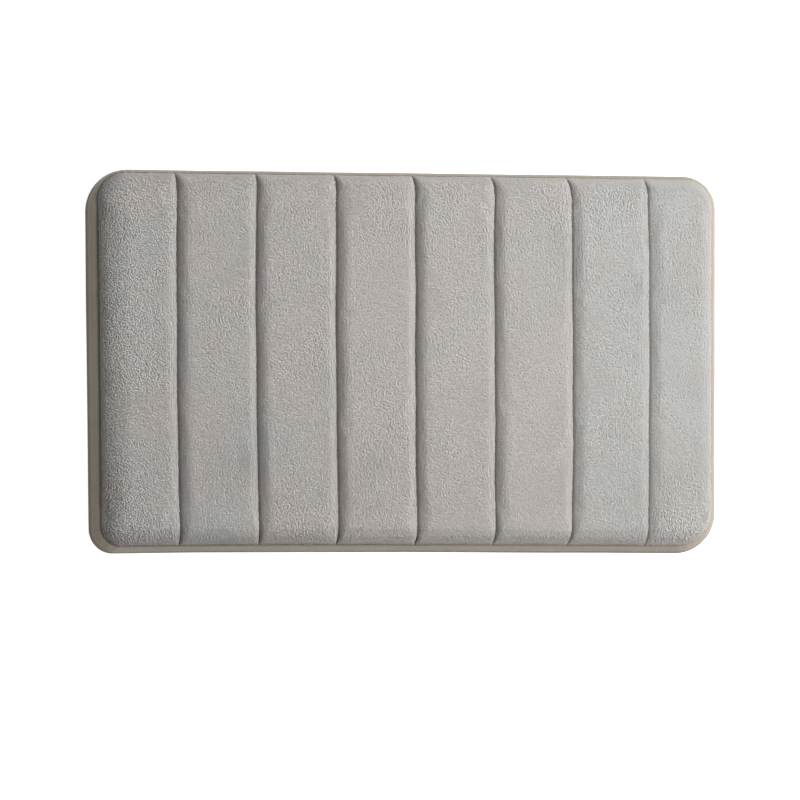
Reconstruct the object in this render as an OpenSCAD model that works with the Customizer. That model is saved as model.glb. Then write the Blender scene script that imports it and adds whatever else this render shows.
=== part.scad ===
// Quilted memory-foam bath mat.
//
// A plush face panel and a cloth base close round one foam slab.  The face is quilted through the
// foam along seven straight seams, which leaves eight padded channels.  A smooth cloth band joins
// the face to the base all the way round, and printed rubber dots under the base grip the floor.
//
// Millimetres.  X runs along the mat, Y across it and Z up.  The origin is on the floor, under the
// middle of the mat.

/* [Mat] */
// Length of the mat over its side band
mat_l = 750; // [600:10:900]
// Width of the mat over its side band
mat_w = 445; // [380:5:600]
// Height from the floor to the crests of the plush face
mat_h = 27; // [27:1:30]
// Radius of the mat's corners, seen from above
corner_r = 35; // [34:1:60]

/* [Quilting] */
// Number of padded channels across the mat
channels = 8; // [4:1:9]
// Width of the last channel, which the cutting leaves narrower than the others
last_channel_w = 76; // [50:1:90]
// Depth of a seam below the crests beside it
groove_d = 8; // [5:0.5:8]
// Radius of the soft shoulder on each side of a seam
shoulder_r = 12; // [10:0.5:14]
// Length of the bent run at each end of a seam
seam_bend_run = 20; // [12:1:24]
// Radius of that bend
seam_bend_r = 50; // [50:5:90]

/* [Layers] */
// Thickness of the plush fleece, pile included
plush_t = 4; // [3:0.5:5]
// Thickness of the fleece where a seam presses it
pressed_t = 0.7; // [0.5:0.1:0.9]
// Thickness of the cloth that catches the quilting stitches under the foam
scrim_t = 0.4; // [0.3:0.1:0.6]
// Thickness of the base cloth
base_t = 1; // [0.8:0.1:1.4]
// Height of the rubber dots printed on the base cloth
dot_h = 1; // [0.8:0.1:1.2]
// Thickness of the side band's cloth
band_t = 1.2; // [1:0.1:1.6]
// Thickness of the sewing thread
thread_d = 0.8; // [0.5:0.1:0.9]

/* [Edge] */
// How far the plush face's edge stands in from the mat's outline
band_inset = 8; // [7:0.5:10]
// Height of the seam between the plush face and the side band
join_z = 18; // [16:0.5:18]
// Height at which the side band bulges out furthest
belly_z = 3; // [3:0.5:5]
// Width over which the plush face rolls down to its edge
roll_w = 25; // [18:1:26]

/* [Care label] */
// Length of the blank label sewn under the mat
label_l = 50; // [40:1:60]
// Width of the label
label_w = 25; // [20:1:30]
// Distance from the middle of the mat to the middle of the label, along X
label_x = 285; // [200:5:285]
// Distance from the middle of the mat to the middle of the label, across it
label_y = 150; // [100:5:150]

/* [Hidden] */
$fn = 48;

layer_gap = 0.2;                                  // clearance between the fleece and the foam
thread_r = thread_d / 2;
thread_gap = 0.02;                                // keeps a thread clear of the cloth it lies on

// Heights of the layers, from the floor up
base_z = dot_h;
scrim_z = base_z + base_t;
foam_z = scrim_z + scrim_t;
groove_z = mat_h - groove_d;

// Distances outwards from the line that joins the corners' centres
face_edge = corner_r - band_inset;                // edge of the plush face
scrim_edge = corner_r - 4;
base_edge = corner_r - thread_d;                  // leaves room for the thread round the bottom
dots_edge = corner_r - 6;                         // the cloth's margin has no dots

// The side band is an arc that passes through its bulge and through the seam above it
band_rise = join_z - belly_z;
band_r = (pow(band_inset, 2) + pow(band_rise, 2)) / (2 * band_inset);
band_centre = [corner_r - band_r, belly_z];
band_top_angle = atan2(band_rise, face_edge - band_centre[0]);

// Seams
channel_pitch = (mat_l - 2 * band_inset - last_channel_w) / (channels - 1);
seam_straight = mat_w / 2 - band_inset - seam_bend_run;        // half the straight run
seam_half_gap = 0.2;                                           // half the gap between two shoulders
shoulder_trim = 0.5;                                           // part of a shoulder that is level already
groove_end_angle = asin((seam_bend_run + 1) / (seam_bend_r - shoulder_r - 1));
thread_end_angle = asin((seam_bend_run - 1.5) / seam_bend_r);

roll_steps = 8;
arc_steps = 10;

plush_grey = "#BDB9B3";
band_taupe = "#9B9282";
foam_cream = "#E9E1C8";
scrim_white = "#F1F1EE";
base_grey = "#8F8C86";
rubber_grey = "#6F6C67";
thread_taupe = "#7D7567";
label_white = "#F6F6F4";

function seam_x(k) = -mat_l / 2 + band_inset + k * channel_pitch;

// Points up the rolled edge of a panel, a quarter of an ellipse from its edge to its crest
function rolled_edge(edge, bottom, top, width) = [
    for (i = [0 : roll_steps])
    let (a = 90 * i / roll_steps)
    [edge - width + width * cos(a), bottom + (top - bottom) * sin(a)]
];

// Points along an arc about the side band's centre
function band_arc(r, from, to) = [
    for (i = [0 : arc_steps])
    let (a = from + (to - from) * i / arc_steps)
    band_centre + r * [cos(a), sin(a)]
];

// Angle at which an arc of radius r about the band's centre reaches height z
function arc_angle(r, z) = asin((z - band_centre[1]) / r);

// A flat layer with the mat's outline, its edge at the given distance from the corners' centres
module layer(edge, z, thickness) {
    long_half = mat_l / 2 - corner_r;
    short_half = mat_w / 2 - corner_r;
    translate([0, 0, z])
    linear_extrude(height = thickness) {
        square([2 * (long_half + edge), 2 * short_half], center = true);
        square([2 * long_half, 2 * (short_half + edge)], center = true);
        for (x = [-long_half, long_half], y = [-short_half, short_half])
            translate([x, y])
            circle(r = edge);
    }
}

// Sweeps a profile round the mat's outline.  The profile's x is the distance outwards from the
// corners' centres, and its y is the height.
module around_edge() {
    long_half = mat_l / 2 - corner_r;
    short_half = mat_w / 2 - corner_r;
    for (turn = [0, 180]) {
        rotate([0, 0, turn])
        translate([long_half, 0, 0])
        rotate([90, 0, 0])
        linear_extrude(height = 2 * short_half, center = true)
        children();

        rotate([0, 0, turn])
        translate([0, short_half, 0])
        rotate([90, 0, 90])
        linear_extrude(height = 2 * long_half, center = true)
        children();

        rotate([0, 0, turn])
        translate([long_half, short_half, 0])
        rotate_extrude(angle = 90)
        children();

        rotate([0, 0, turn])
        translate([-long_half, short_half, 0])
        rotate([0, 0, 90])
        rotate_extrude(angle = 90)
        children();
    }
}

// Fills the inside of a swept edge between two heights
module core_block(bottom, top) {
    translate([-mat_l / 2 + corner_r, -mat_w / 2 + corner_r, bottom])
    cube([mat_l - 2 * corner_r, mat_w - 2 * corner_r, top - bottom]);
}

// Sweeps a profile along seam k: a straight run, and at each end a bend towards -X.  The profile's
// x is the distance from the seam, and its y is the height.
module along_seam(k, end_angle) {
    translate([seam_x(k), 0, 0])
    rotate([90, 0, 0])
    linear_extrude(height = 2 * seam_straight, center = true)
    children();

    for (end = [0, 1])
        mirror([0, end, 0])
        translate([seam_x(k) - seam_bend_r, seam_straight, 0])
        rotate_extrude(angle = end_angle)
        translate([seam_bend_r, 0])
        children();
}

// The profile of a seam's groove, open at the top, between two round shoulders.  Inset is how far
// below the plush surface the shoulders lie, and floor_drop how far below it the floor does.
module groove_profile(inset, floor_drop) {
    half_w = shoulder_r + seam_half_gap - shoulder_trim;
    difference() {
        translate([-half_w, groove_z - floor_drop])
        square([2 * half_w, groove_d + floor_drop + 1]);
        for (side = [-1, 1])
            translate([side * (shoulder_r + seam_half_gap), mat_h - shoulder_r])
            circle(r = shoulder_r - inset);
    }
}

// The quilted body above the band's seam, at the given distances below the plush surface
module quilted_body(inset, floor_drop) {
    difference() {
        union() {
            core_block(join_z, mat_h - inset);
            around_edge()
            polygon(concat(
                [[0, join_z]],
                rolled_edge(face_edge - inset, join_z, mat_h - inset, roll_w - inset),
                [[0, mat_h - inset]]
            ));
        }
        for (k = [1 : channels - 1])
            along_seam(k, groove_end_angle)
            groove_profile(inset, floor_drop);
    }
}

// Rubber dots, as one layer of the dots' height with a window for the label
module grip_dots() {
    window_margin = 3;
    color(rubber_grey)
    difference() {
        layer(dots_edge, 0, dot_h);
        translate([label_x, label_y, dot_h / 2])
        cube([label_l + 2 * window_margin, label_w + 2 * window_margin, dot_h + 1], center = true);
    }
}

module base_cloth() {
    color(base_grey)
    layer(base_edge, base_z, base_t);
}

module quilting_scrim() {
    color(scrim_white)
    layer(scrim_edge, scrim_z, scrim_t);
}

// One slab of foam, pressed thin along the seams and round at its edge
module foam_core() {
    inset = plush_t + layer_gap;
    ledge_z = join_z - layer_gap;
    side_r = band_r - band_t - layer_gap;
    neck_u = face_edge - inset;
    top_angle = min(arc_angle(side_r, ledge_z), acos((neck_u - band_centre[0]) / side_r));
    color(foam_cream) {
        quilted_body(inset, pressed_t + layer_gap / 2);
        core_block(foam_z, join_z);
        around_edge()
        polygon(concat(
            [[0, foam_z]],
            band_arc(side_r, arc_angle(side_r, foam_z), top_angle),
            [[neck_u, ledge_z], [neck_u, join_z], [0, join_z]]
        ));
    }
}

// The fleece panel, puffed into channels by the foam below it
module plush_face() {
    color(plush_grey)
    difference() {
        quilted_body(0, 0);
        quilted_body(plush_t, pressed_t);
    }
}

// The strip of cloth that closes the mat's side
module side_band() {
    inner_r = band_r - band_t;
    outer = band_arc(band_r, arc_angle(band_r, scrim_z), band_top_angle);
    inner = band_arc(inner_r, band_top_angle, arc_angle(inner_r, scrim_z));
    color(band_taupe)
    around_edge()
    polygon(concat(outer, inner));
}

// The thread in the crease between the plush face and the side band
module top_seam_thread() {
    reach = thread_r + thread_gap;
    u = face_edge + reach;
    z = band_centre[1] + sqrt(pow(band_r + reach, 2) - pow(u - band_centre[0], 2));
    color(thread_taupe)
    around_edge()
    translate([u, z])
    circle(r = thread_r);
}

// The thread that joins the side band to the base cloth
module bottom_seam_thread() {
    color(thread_taupe)
    around_edge()
    translate([corner_r - thread_r, scrim_z - thread_r - thread_gap])
    circle(r = thread_r - thread_gap);
}

// The needle thread along the bottom of seam k
module quilt_thread(k) {
    color(thread_taupe)
    along_seam(k, thread_end_angle)
    translate([0, groove_z + thread_r + thread_gap])
    circle(r = thread_r);
}

// A blank satin label, flat against the base cloth
module care_label() {
    label_t = 0.4;
    color(label_white)
    translate([label_x - label_l / 2, label_y - label_w / 2, base_z - label_t])
    cube([label_l, label_w, label_t]);
}

// The line of stitches along one long edge of the label
module label_thread() {
    stitch_t = 0.3;
    stitch_w = 0.6;
    label_t = 0.4;
    edge_margin = 2;
    color(thread_taupe)
    translate([
        label_x - label_l / 2 + edge_margin,
        label_y + label_w / 2 - edge_margin - stitch_w,
        base_z - label_t - stitch_t
    ])
    cube([label_l - 2 * edge_margin, stitch_w, stitch_t]);
}

grip_dots();
base_cloth();
quilting_scrim();
foam_core();
plush_face();
side_band();
top_seam_thread();
bottom_seam_thread();
care_label();
label_thread();
for (k = [1 : channels - 1])
    quilt_thread(k);
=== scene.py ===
# %% [markdown]
# # A quilted memory-foam bath mat
#
# The real mat is a sandwich.  A plush panel of coral fleece lies on a slab of memory foam, and
# seven straight seams are stitched through both into a thin cloth below, so that the foam stands
# up between them in eight padded channels.  A strip of smooth cloth goes round the side, and the
# base is a cloth with thousands of small rubber dots that grip the floor.
#
# The script makes each of those pieces on its own.  Soft pieces are meshes shaped by a rule and
# then by cloth simulation, and everything that repeats, the pile, the stitches and the dots, is
# made by Geometry Nodes.

# %% Load the frame
import math

import bmesh
import bpy
import numpy as np
from mathutils import Matrix, Quaternion, Vector, noise


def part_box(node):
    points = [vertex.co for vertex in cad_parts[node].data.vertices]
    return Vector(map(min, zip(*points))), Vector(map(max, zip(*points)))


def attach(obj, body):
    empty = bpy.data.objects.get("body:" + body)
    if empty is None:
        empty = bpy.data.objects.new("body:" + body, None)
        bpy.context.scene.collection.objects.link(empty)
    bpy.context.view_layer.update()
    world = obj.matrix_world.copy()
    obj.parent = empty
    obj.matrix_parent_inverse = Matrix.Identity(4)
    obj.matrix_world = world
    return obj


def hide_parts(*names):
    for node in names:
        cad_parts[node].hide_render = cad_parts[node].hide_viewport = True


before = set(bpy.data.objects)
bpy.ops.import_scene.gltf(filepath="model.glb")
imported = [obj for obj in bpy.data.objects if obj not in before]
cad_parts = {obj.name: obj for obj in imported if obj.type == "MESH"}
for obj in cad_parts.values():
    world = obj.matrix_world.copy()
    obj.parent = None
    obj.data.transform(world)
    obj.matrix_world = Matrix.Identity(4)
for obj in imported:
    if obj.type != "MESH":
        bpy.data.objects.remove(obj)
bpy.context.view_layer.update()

MM = 0.001

# %% [markdown]
# ## Sizes that every piece shares
#
# The frame already holds where each layer lies, so the layers are read from it and not typed in
# again.  Each quilting thread lies in its seam and bends towards -X only at its ends, so the high
# side of its box, less half its thickness, is where the straight run of the seam is.

# %% Read the layers and the seams
face_low, face_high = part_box("plush_face")
foam_low, foam_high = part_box("foam_core")
base_low, base_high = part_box("base_cloth")
dots_low, dots_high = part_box("grip_dots")
scrim_low, scrim_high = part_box("quilting_scrim")
_, band_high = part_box("side_band")
label_low, label_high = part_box("care_label")

seam_count = sum(name.startswith("quilt_thread_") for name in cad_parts)
seam_xs = []
for number in range(1, seam_count + 1):
    thread_low, thread_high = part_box(f"quilt_thread_{number}")
    thread_r = (thread_high.z - thread_low.z) / 2
    seam_xs.append(thread_high.x - thread_r)
seam_z = thread_low.z

mat_half_l = band_high.x
mat_half_w = band_high.y
mat_corner_r = 35 * MM
join_z = face_low.z
crest_z = face_high.z
print(seam_count, "seams at", [round(x / MM) for x in seam_xs], "mm")

# %% [markdown]
# ## The camera
#
# The mat is seen from almost straight above, from a long way off through a long lens, so that its
# edges stay nearly parallel.  The camera leans a little towards the mat's left end and its near
# side, which is why the side band shows wider there than on the other two sides.

# %% Place the camera
CAMERA_LEAN_X = math.radians(12)
CAMERA_LEAN_Y = math.radians(6)
CAMERA_ROLL = math.radians(-0.8)
CAMERA_DISTANCE = 12.0
VIEW_WIDTH = 0.936
VIEW_CENTRE = Vector((-0.003, -0.0442, 0.0))

to_camera = Vector((-math.tan(CAMERA_LEAN_X), -math.tan(CAMERA_LEAN_Y), 1)).normalized()
camera_data = bpy.data.cameras.new("camera")
camera_data.sensor_width = 36
camera_data.lens = camera_data.sensor_width * CAMERA_DISTANCE / VIEW_WIDTH
camera_data.clip_start, camera_data.clip_end = 1, 100
camera = bpy.data.objects.new("camera", camera_data)
bpy.context.scene.collection.objects.link(camera)
bpy.context.scene.camera = camera
# The mat's Y axis points up in the view, but for a slight roll.
picture_right = Vector((0, 1, 0)).cross(to_camera).normalized()
picture_right.rotate(Quaternion(to_camera, CAMERA_ROLL))
picture_up = to_camera.cross(picture_right)
camera.rotation_mode = "QUATERNION"
camera.rotation_quaternion = Matrix((picture_right, picture_up, to_camera)).transposed().to_quaternion()
camera.location = VIEW_CENTRE + to_camera * CAMERA_DISTANCE
print("lens", round(camera_data.lens), "mm at", CAMERA_DISTANCE, "m")

# %% [markdown]
# ## Helpers for materials
#
# Colours are written as the hex values a designer would pick on a screen, and one function turns
# them into the linear numbers that a renderer adds up.  One function adds any node, sets it and
# links it.

# %% Colour and node helpers
def linear(hex_colour):
    """An sRGB hex colour as linear red, green and blue, and a full alpha."""
    parts = [int(hex_colour[i:i + 2], 16) / 255 for i in (1, 3, 5)]
    return [p / 12.92 if p <= 0.04045 else ((p + 0.055) / 1.055) ** 2.4 for p in parts] + [1.0]


def add_node(tree, kind, inputs=None, **settings):
    """Adds a node, sets its properties, then sets each input to a value or links it to a socket."""
    node = tree.nodes.new(kind)
    for name, value in settings.items():
        setattr(node, name, value)
    for key, value in (inputs or {}).items():
        if isinstance(value, bpy.types.NodeSocket):
            tree.links.new(value, node.inputs[key])
        else:
            node.inputs[key].default_value = value
    return node


def new_material(name):
    """An empty material with only its output node."""
    material = bpy.data.materials.new(name)
    material.use_nodes = True
    material.node_tree.nodes.clear()
    output = material.node_tree.nodes.new("ShaderNodeOutputMaterial")
    return material, material.node_tree, output


def finish_material(tree, output, shader, height=None, depth=0.0):
    """Links a shader to the output, with a bump of the given depth in metres under it."""
    if height is not None:
        bump = add_node(tree, "ShaderNodeBump", {"Strength": 1.0, "Distance": depth, "Height": height})
        tree.links.new(bump.outputs["Normal"], shader.inputs["Normal"])
    tree.links.new(shader.outputs[0], output.inputs["Surface"])


def mottled(tree, cloud, low, high):
    """A colour between two hex colours that follows a noise."""
    mix = add_node(tree, "ShaderNodeMix", {
        "Factor": cloud, 6: linear(low), 7: linear(high),
    }, data_type="RGBA")
    return mix.outputs[2]


def darkened(tree, colour, where, start, end, share_start, share_end, curve="LINEAR"):
    """A colour scaled by a share that changes from one place to another."""
    share = add_node(tree, "ShaderNodeMapRange", {
        "Value": where, "From Min": start, "From Max": end, "To Min": share_start, "To Max": share_end,
    }, interpolation_type=curve)
    scaled = add_node(tree, "ShaderNodeVectorMath", {
        0: colour, "Scale": share.outputs["Result"],
    }, operation="SCALE")
    return scaled.outputs["Vector"]

# %% [markdown]
# ## Coral fleece
#
# Coral fleece is a knitted polyester ground with a thick cut pile of very fine fibres that clump
# together into soft beads.  It has no gloss, only a faint sheen where the light grazes it.  The
# ground shows between the clumps, so it gets a mottled pattern of about the pile's own colour.  It
# is darker along the left end and the near side: painted shade, for where the cloth rolls down a
# long way, away from the light.
#
# The pile itself is real geometry and its shape gives the grain, so its material is plain.  Light
# passes a few millimetres through the fibres, so it scatters below the surface.  The pile comes in
# eighteen dyes: a cool, a neutral and a warm grey, each in six shades.  The lighter shades vary at
# random, because fibres that were brushed one way look lighter than those brushed the other way.
# The darker shades are painted shade, put where the fleece rolls down to its hem and towards the near side.

# %% Fleece materials
CLUMP_SIZE = 2.5 * MM
# Painted shade, where the ground is darker along each axis: the hem, how far it fades, and the share left
# there.
PAINTED_HEM_SHADE = (
    ("X", 12 * MM - mat_half_l, 36 * MM, 0.52),
    ("Y", 7 * MM - mat_half_w, 24 * MM, 0.65),
)


def fleece_ground():
    """The knitted ground and the roots of the pile, mottled, with painted shade along two hems."""
    material, tree, output = new_material("coral_fleece_ground")
    place = add_node(tree, "ShaderNodeTexCoord").outputs["Object"]
    clumps = add_node(tree, "ShaderNodeTexNoise", {"Vector": place, "Scale": 1 / CLUMP_SIZE, "Detail": 2.0})
    colour = mottled(tree, clumps.outputs["Fac"], "#84817D", "#918E8A")
    spot = add_node(tree, "ShaderNodeSeparateXYZ", {0: place})
    # Painted shade along the left end and the near side.
    for axis, hem, fade, share_left in PAINTED_HEM_SHADE:
        colour = darkened(tree, colour, spot.outputs[axis], hem, hem + fade, share_left, 1.0)
    shader = add_node(tree, "ShaderNodeBsdfPrincipled", {
        "Base Color": colour,
        "Roughness": 0.95,
        "Specular IOR Level": 0.2,
        "Sheen Weight": 0.1,
        "Sheen Roughness": 0.5,
    })
    finish_material(tree, output, shader, clumps.outputs["Fac"], 0.6 * MM)
    return material


def fleece_pile(name, colour):
    """One dye of the pile: matt fibres with a faint sheen, soft because light scatters in them."""
    material, tree, output = new_material(name)
    shader = add_node(tree, "ShaderNodeBsdfPrincipled", {
        "Base Color": linear(colour),
        "Roughness": 0.9,
        "Specular IOR Level": 0.2,
        "Subsurface Weight": 1.0,
        "Subsurface Radius": (1.0, 1.0, 1.0),
        "Subsurface Scale": 4 * MM,
        "Sheen Weight": 0.15,
        "Sheen Roughness": 0.5,
    })
    finish_material(tree, output, shader)
    return material


GROUND = fleece_ground()
PILE_DYES = {
    "cool": ("#5E5F5B", "#6E6F6B", "#7E7F7C", "#8A8B88", "#929390", "#959693"),
    "neutral": ("#605D58", "#706D68", "#807D78", "#8D8A85", "#94918C", "#97948F"),
    "warm": ("#645D59", "#746D69", "#857D79", "#918986", "#98908D", "#9B9390"),
}
# The darker shades, most of all root, low and deep, are painted shade for where the fleece rolls away from
# the light; the lighter shades vary at random.
SHADES = ("root", "low", "deep", "dark", "middle", "light")
PILE = [
    fleece_pile(f"coral_fleece_{dye}_{shade}", colour)
    for dye, colours in PILE_DYES.items()
    for shade, colour in zip(SHADES, colours)
]

# %% [markdown]
# ## Cloths, rubber, foam and thread
#
# The band and the backing are smooth knits with fine ribs that only show as a soft texture.  The
# band has painted shade: it is darker towards the floor, and towards the left end it is darker in the
# crease under the fleece as well.  The other pieces are small or hidden, so a plain finish with a
# fine grain is enough for them: matt foam, papery scrim, slightly shiny rubber and satin.

# %% Other materials
def plain_cloth(name, low, high, thread, depth, painted_bands=()):
    """A smooth knit: fine wales and courses on the UV map weave, which is in metres.

    Each painted band is (from, to, share left at the left end, share left at the right end): between
    those two places across the strip the colour darkens, as painted shade.
    """
    material, tree, output = new_material(name)
    weave = add_node(tree, "ShaderNodeUVMap", uv_map="weave").outputs["UV"]
    object_place = add_node(tree, "ShaderNodeTexCoord").outputs["Object"]
    ribs = [
        add_node(tree, "ShaderNodeTexWave", {
            "Vector": weave, "Scale": 1 / thread / 3.14, "Distortion": 0.3,
        }, bands_direction=direction).outputs["Fac"]
        for direction in ("X", "Y")
    ]
    knit = add_node(tree, "ShaderNodeMath", dict(enumerate(ribs)), operation="MULTIPLY")
    cloud = add_node(tree, "ShaderNodeTexNoise", {"Vector": object_place, "Scale": 25.0, "Detail": 4.0})
    colour = mottled(tree, cloud.outputs["Fac"], low, high)
    across = add_node(tree, "ShaderNodeSeparateXYZ", {0: weave}).outputs["Y"]
    along_mat = add_node(tree, "ShaderNodeSeparateXYZ", {0: object_place}).outputs["X"]
    # Painted shade: each band darkens the colour across the strip.
    for start, end, at_left, at_right in painted_bands:
        share_left = add_node(tree, "ShaderNodeMapRange", {
            "Value": along_mat, "From Min": -mat_half_l, "From Max": mat_half_l,
            "To Min": at_left, "To Max": at_right,
        }).outputs["Result"]
        colour = darkened(tree, colour, across, start, end, 1.0, share_left, "SMOOTHSTEP")
    shader = add_node(tree, "ShaderNodeBsdfPrincipled", {
        "Base Color": colour,
        "Roughness": 0.85,
        "Specular IOR Level": 0.25,
        "Sheen Weight": 0.1,
        "Sheen Roughness": 0.4,
    })
    finish_material(tree, output, shader, knit.outputs[0], depth)
    return material


# Painted shade on the band: towards the floor, and in the crease under the fleece, more at the left end.
FLOOR_SHADE_PAINTED = (13 * MM, 18 * MM, 0.5, 0.5)
CREASE_SHADE_PAINTED = (6.5 * MM, 3.5 * MM, 0.55, 1.0)
BAND_CLOTH = plain_cloth("taupe_tricot", "#7A7368", "#857D71", 1.2 * MM, 0.15 * MM,
                         (FLOOR_SHADE_PAINTED, CREASE_SHADE_PAINTED))
BASE_CLOTH = plain_cloth("grey_knit_backing", "#86837D", "#918E88", 1.5 * MM, 0.2 * MM)


def simple_material(name, colour, roughness, specular=0.4):
    """A plain finish with a little cloudiness, for pieces too small to show more."""
    material, tree, output = new_material(name)
    place = add_node(tree, "ShaderNodeTexCoord").outputs["Object"]
    grain = add_node(tree, "ShaderNodeTexNoise", {"Vector": place, "Scale": 900.0, "Detail": 3.0})
    shader = add_node(tree, "ShaderNodeBsdfPrincipled", {
        "Base Color": linear(colour),
        "Roughness": roughness,
        "Specular IOR Level": specular,
    })
    finish_material(tree, output, shader, grain.outputs["Fac"], 0.05 * MM)
    return material


RUBBER = simple_material("pvc_dots", "#6F6C67", 0.45)
THREAD = simple_material("polyester_thread", "#6B6457", 0.7)
FOAM = simple_material("memory_foam", "#E9E1C8", 0.95, 0.1)
SCRIM = simple_material("spunbond_scrim", "#F1F1EE", 0.9, 0.1)
SATIN = simple_material("label_satin", "#F6F6F4", 0.35)

# %% [markdown]
# ## Helpers for meshes
#
# Pieces are made from points and faces, and modifiers are applied as soon as they have done their
# work.
#
# The pattern is a rounded rectangle, but hand-guided cutting and sewing leave it less regular.
# Each corner comes out with its own radius, the right end is about one degree out of square and
# the near side stands out a little near the left end.  Every layer is drawn on the square plan
# first, and one function then moves its points to where they were really cut.

# %% Mesh helpers
def new_piece(name, vertices, faces, material=None):
    """A mesh object at the origin, with its place in its vertices."""
    mesh = bpy.data.meshes.new(name)
    mesh.from_pydata([tuple(v) for v in vertices], [], faces)
    mesh.validate()
    piece = bpy.data.objects.new(name, mesh)
    bpy.context.scene.collection.objects.link(piece)
    if material:
        mesh.materials.append(material)
    mesh.shade_smooth()
    return piece


def apply_modifiers(piece):
    """Turns what the modifiers show into the piece's own mesh."""
    depsgraph = bpy.context.evaluated_depsgraph_get()
    mesh = bpy.data.meshes.new_from_object(piece.evaluated_get(depsgraph))
    piece.modifiers.clear()
    old = piece.data
    piece.data = mesh
    bpy.data.meshes.remove(old)
    mesh.name = piece.name


# %% Plan helpers
# The radii of the corners as they came out when sewn: left and right, each near and far.
SEWN_CORNERS = mat_corner_r + np.array([[-7, 15], [12, 4]]) * MM
CUT_SLANT = 0.018
NEAR_LEFT_OUT = 4 * MM


def corner_radius(x, y, corners):
    """The radius of the corner nearest to each point."""
    return corners[np.asarray(np.greater(x, 0), int), np.asarray(np.greater(y, 0), int)]


def as_cut(points):
    """Moves the points of a square plan to where the layers were really cut."""
    moved = np.array(points, dtype=float)
    x, y = points[..., 0], points[..., 1]
    from_left = (x + mat_half_l) / (2 * mat_half_l)
    moved[..., 0] += CUT_SLANT * from_left * y
    moved[..., 1] -= NEAR_LEFT_OUT * (1 - from_left) ** 4 * np.clip(-y / mat_half_w, 0, 1) ** 2
    return moved


def side_reach(side, ys, half_l, half_w, corners):
    """The x of a rounded rectangle's left side (-1) or right side (1) at each y."""
    corner_r = corner_radius(side, ys, corners)
    past = np.clip(np.abs(ys) - (half_w - corner_r), 0, corner_r)
    return side * (half_l - corner_r + np.sqrt(corner_r ** 2 - past ** 2))


def inside_distance(x, y, half_l, half_w, corners):
    """How far inside a rounded rectangle the points lie."""
    corner_r = corner_radius(x, y, corners)
    past_x = np.abs(x) - (half_l - corner_r)
    past_y = np.abs(y) - (half_w - corner_r)
    outside = np.hypot(np.maximum(past_x, 0), np.maximum(past_y, 0))
    return corner_r - outside - np.minimum(np.maximum(past_x, past_y), 0)


def graded(first, growth, largest, reach):
    """Distances from 0 to reach, close together at both ends and wider in the middle."""
    steps = [first]
    while sum(steps) + steps[-1] < reach / 2:
        steps.append(min(steps[-1] * growth, largest))
    marks = np.cumsum([0] + steps)
    marks *= reach / 2 / marks[-1]
    return list(marks) + [reach - m for m in reversed(marks[:-1])]

# %% [markdown]
# ## The shape of the quilting
#
# Every soft layer of the sandwich has the same plan: a rounded rectangle crossed by seven seams.
# The face is one sheet, so it is made as a grid of rows and columns in which some columns run
# exactly along the seams.  The grid is fine beside seams and edges, where the cloth turns down,
# and coarse on the flat crests.  Its height is a rule: flat crests, a round shoulder on each side
# of a seam, and a longer roll down to the edge.  The two drops are blended so that the end of
# each channel has round corners like a cushion's.
#
# Real seams aren't quite straight.  Each drifts from its pattern line by a few millimetres, bows a
# little between its ends, and hooks to the left where the needle meets the edge, so the seams do
# that here too.  Towards the right end they pull in less deep.

# %% Plan of the seams
FACE_INSET_X = 9.5 * MM
FACE_INSET_Y = 6.1 * MM
FACE_SHIFT = np.array([2.8, 0.9, 0.0]) * MM
FACE_CORNERS = np.array([[24, 32], [43, 34]]) * MM
SEAM_DRIFTS = [drift * MM for drift in (0.2, 1.1, 0.5, 0.8, 1.1, -1.7, -3.2)]
SEAM_BOWS = [bow * MM for bow in (-1.5, -2.8, -0.8, -0.7, -0.3, 2.4, 1.7)]
SEAM_HOOKS = [hook * MM for hook in (2.0, 1.5, 2.5, 3.5, 4.5, 5.5, 4.5)]
SEAM_HOOK_RUN = 22 * MM
SEAM_EASE = 3.0 * MM
face_half_l = mat_half_l - FACE_INSET_X
face_half_w = mat_half_w - FACE_INSET_Y


def seam_line(number, ys):
    """The x of seam number at each y."""
    from_end = np.clip((np.abs(ys) - (face_half_w - SEAM_HOOK_RUN)) / SEAM_HOOK_RUN, 0, 1)
    wander = 0.25 * np.sin(ys * 21 + number * 2.1) + 0.2 * np.sin(ys * 47 + number * 1.3)
    bow = SEAM_BOWS[number] * (1 - (ys / face_half_w) ** 2)
    return seam_xs[number] + SEAM_DRIFTS[number] + bow - SEAM_HOOKS[number] * from_end ** 2 + wander * MM


def quilted_grid(inset, first, largest):
    """x and y of a sheet's points as rows and columns, the columns on the seams, and all borders."""
    half_l, half_w, corners = face_half_l - inset, face_half_w - inset, FACE_CORNERS - inset
    ys = np.array(graded(first, 1.3, largest, 2 * half_w)) - half_w
    left, right = (side_reach(side, ys, half_l, half_w, corners) for side in (-1, 1))
    borders = [left] + [seam_line(i, ys) for i in range(seam_count)] + [right]
    widths = [borders[k + 1].max() - borders[k].min() for k in range(seam_count + 1)]
    strips, seam_columns = [], []
    for k, width in enumerate(widths):
        shares = np.array(graded(first, 1.35, largest * 1.4, width)) / width
        seam_columns.append(sum(strip.shape[1] for strip in strips))
        strips.append(borders[k][:, None] + (borders[k + 1] - borders[k])[:, None] * shares[None, :-1])
    xs = np.concatenate(strips + [right[:, None]], axis=1)
    return xs, np.repeat(ys[:, None], xs.shape[1], axis=1), seam_columns[1:], borders


# %% Height of the quilting
SHOULDER_LEFT = 9 * MM
SHOULDER_RIGHT = 15 * MM
ROLL_LEFT, ROLL_RIGHT = 38 * MM, 17 * MM
ROLL_NEAR, ROLL_FAR = 32 * MM, 15 * MM
SIDE_REACH = 60 * MM
BLEND_POWER = 3


def quarter_round(distance, width):
    """1 at distance 0, falling to 0 at the given width along a quarter of an ellipse."""
    near = np.clip(distance / width, 0, 1)
    return 1 - np.sqrt(1 - (1 - near) ** 2)


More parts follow.
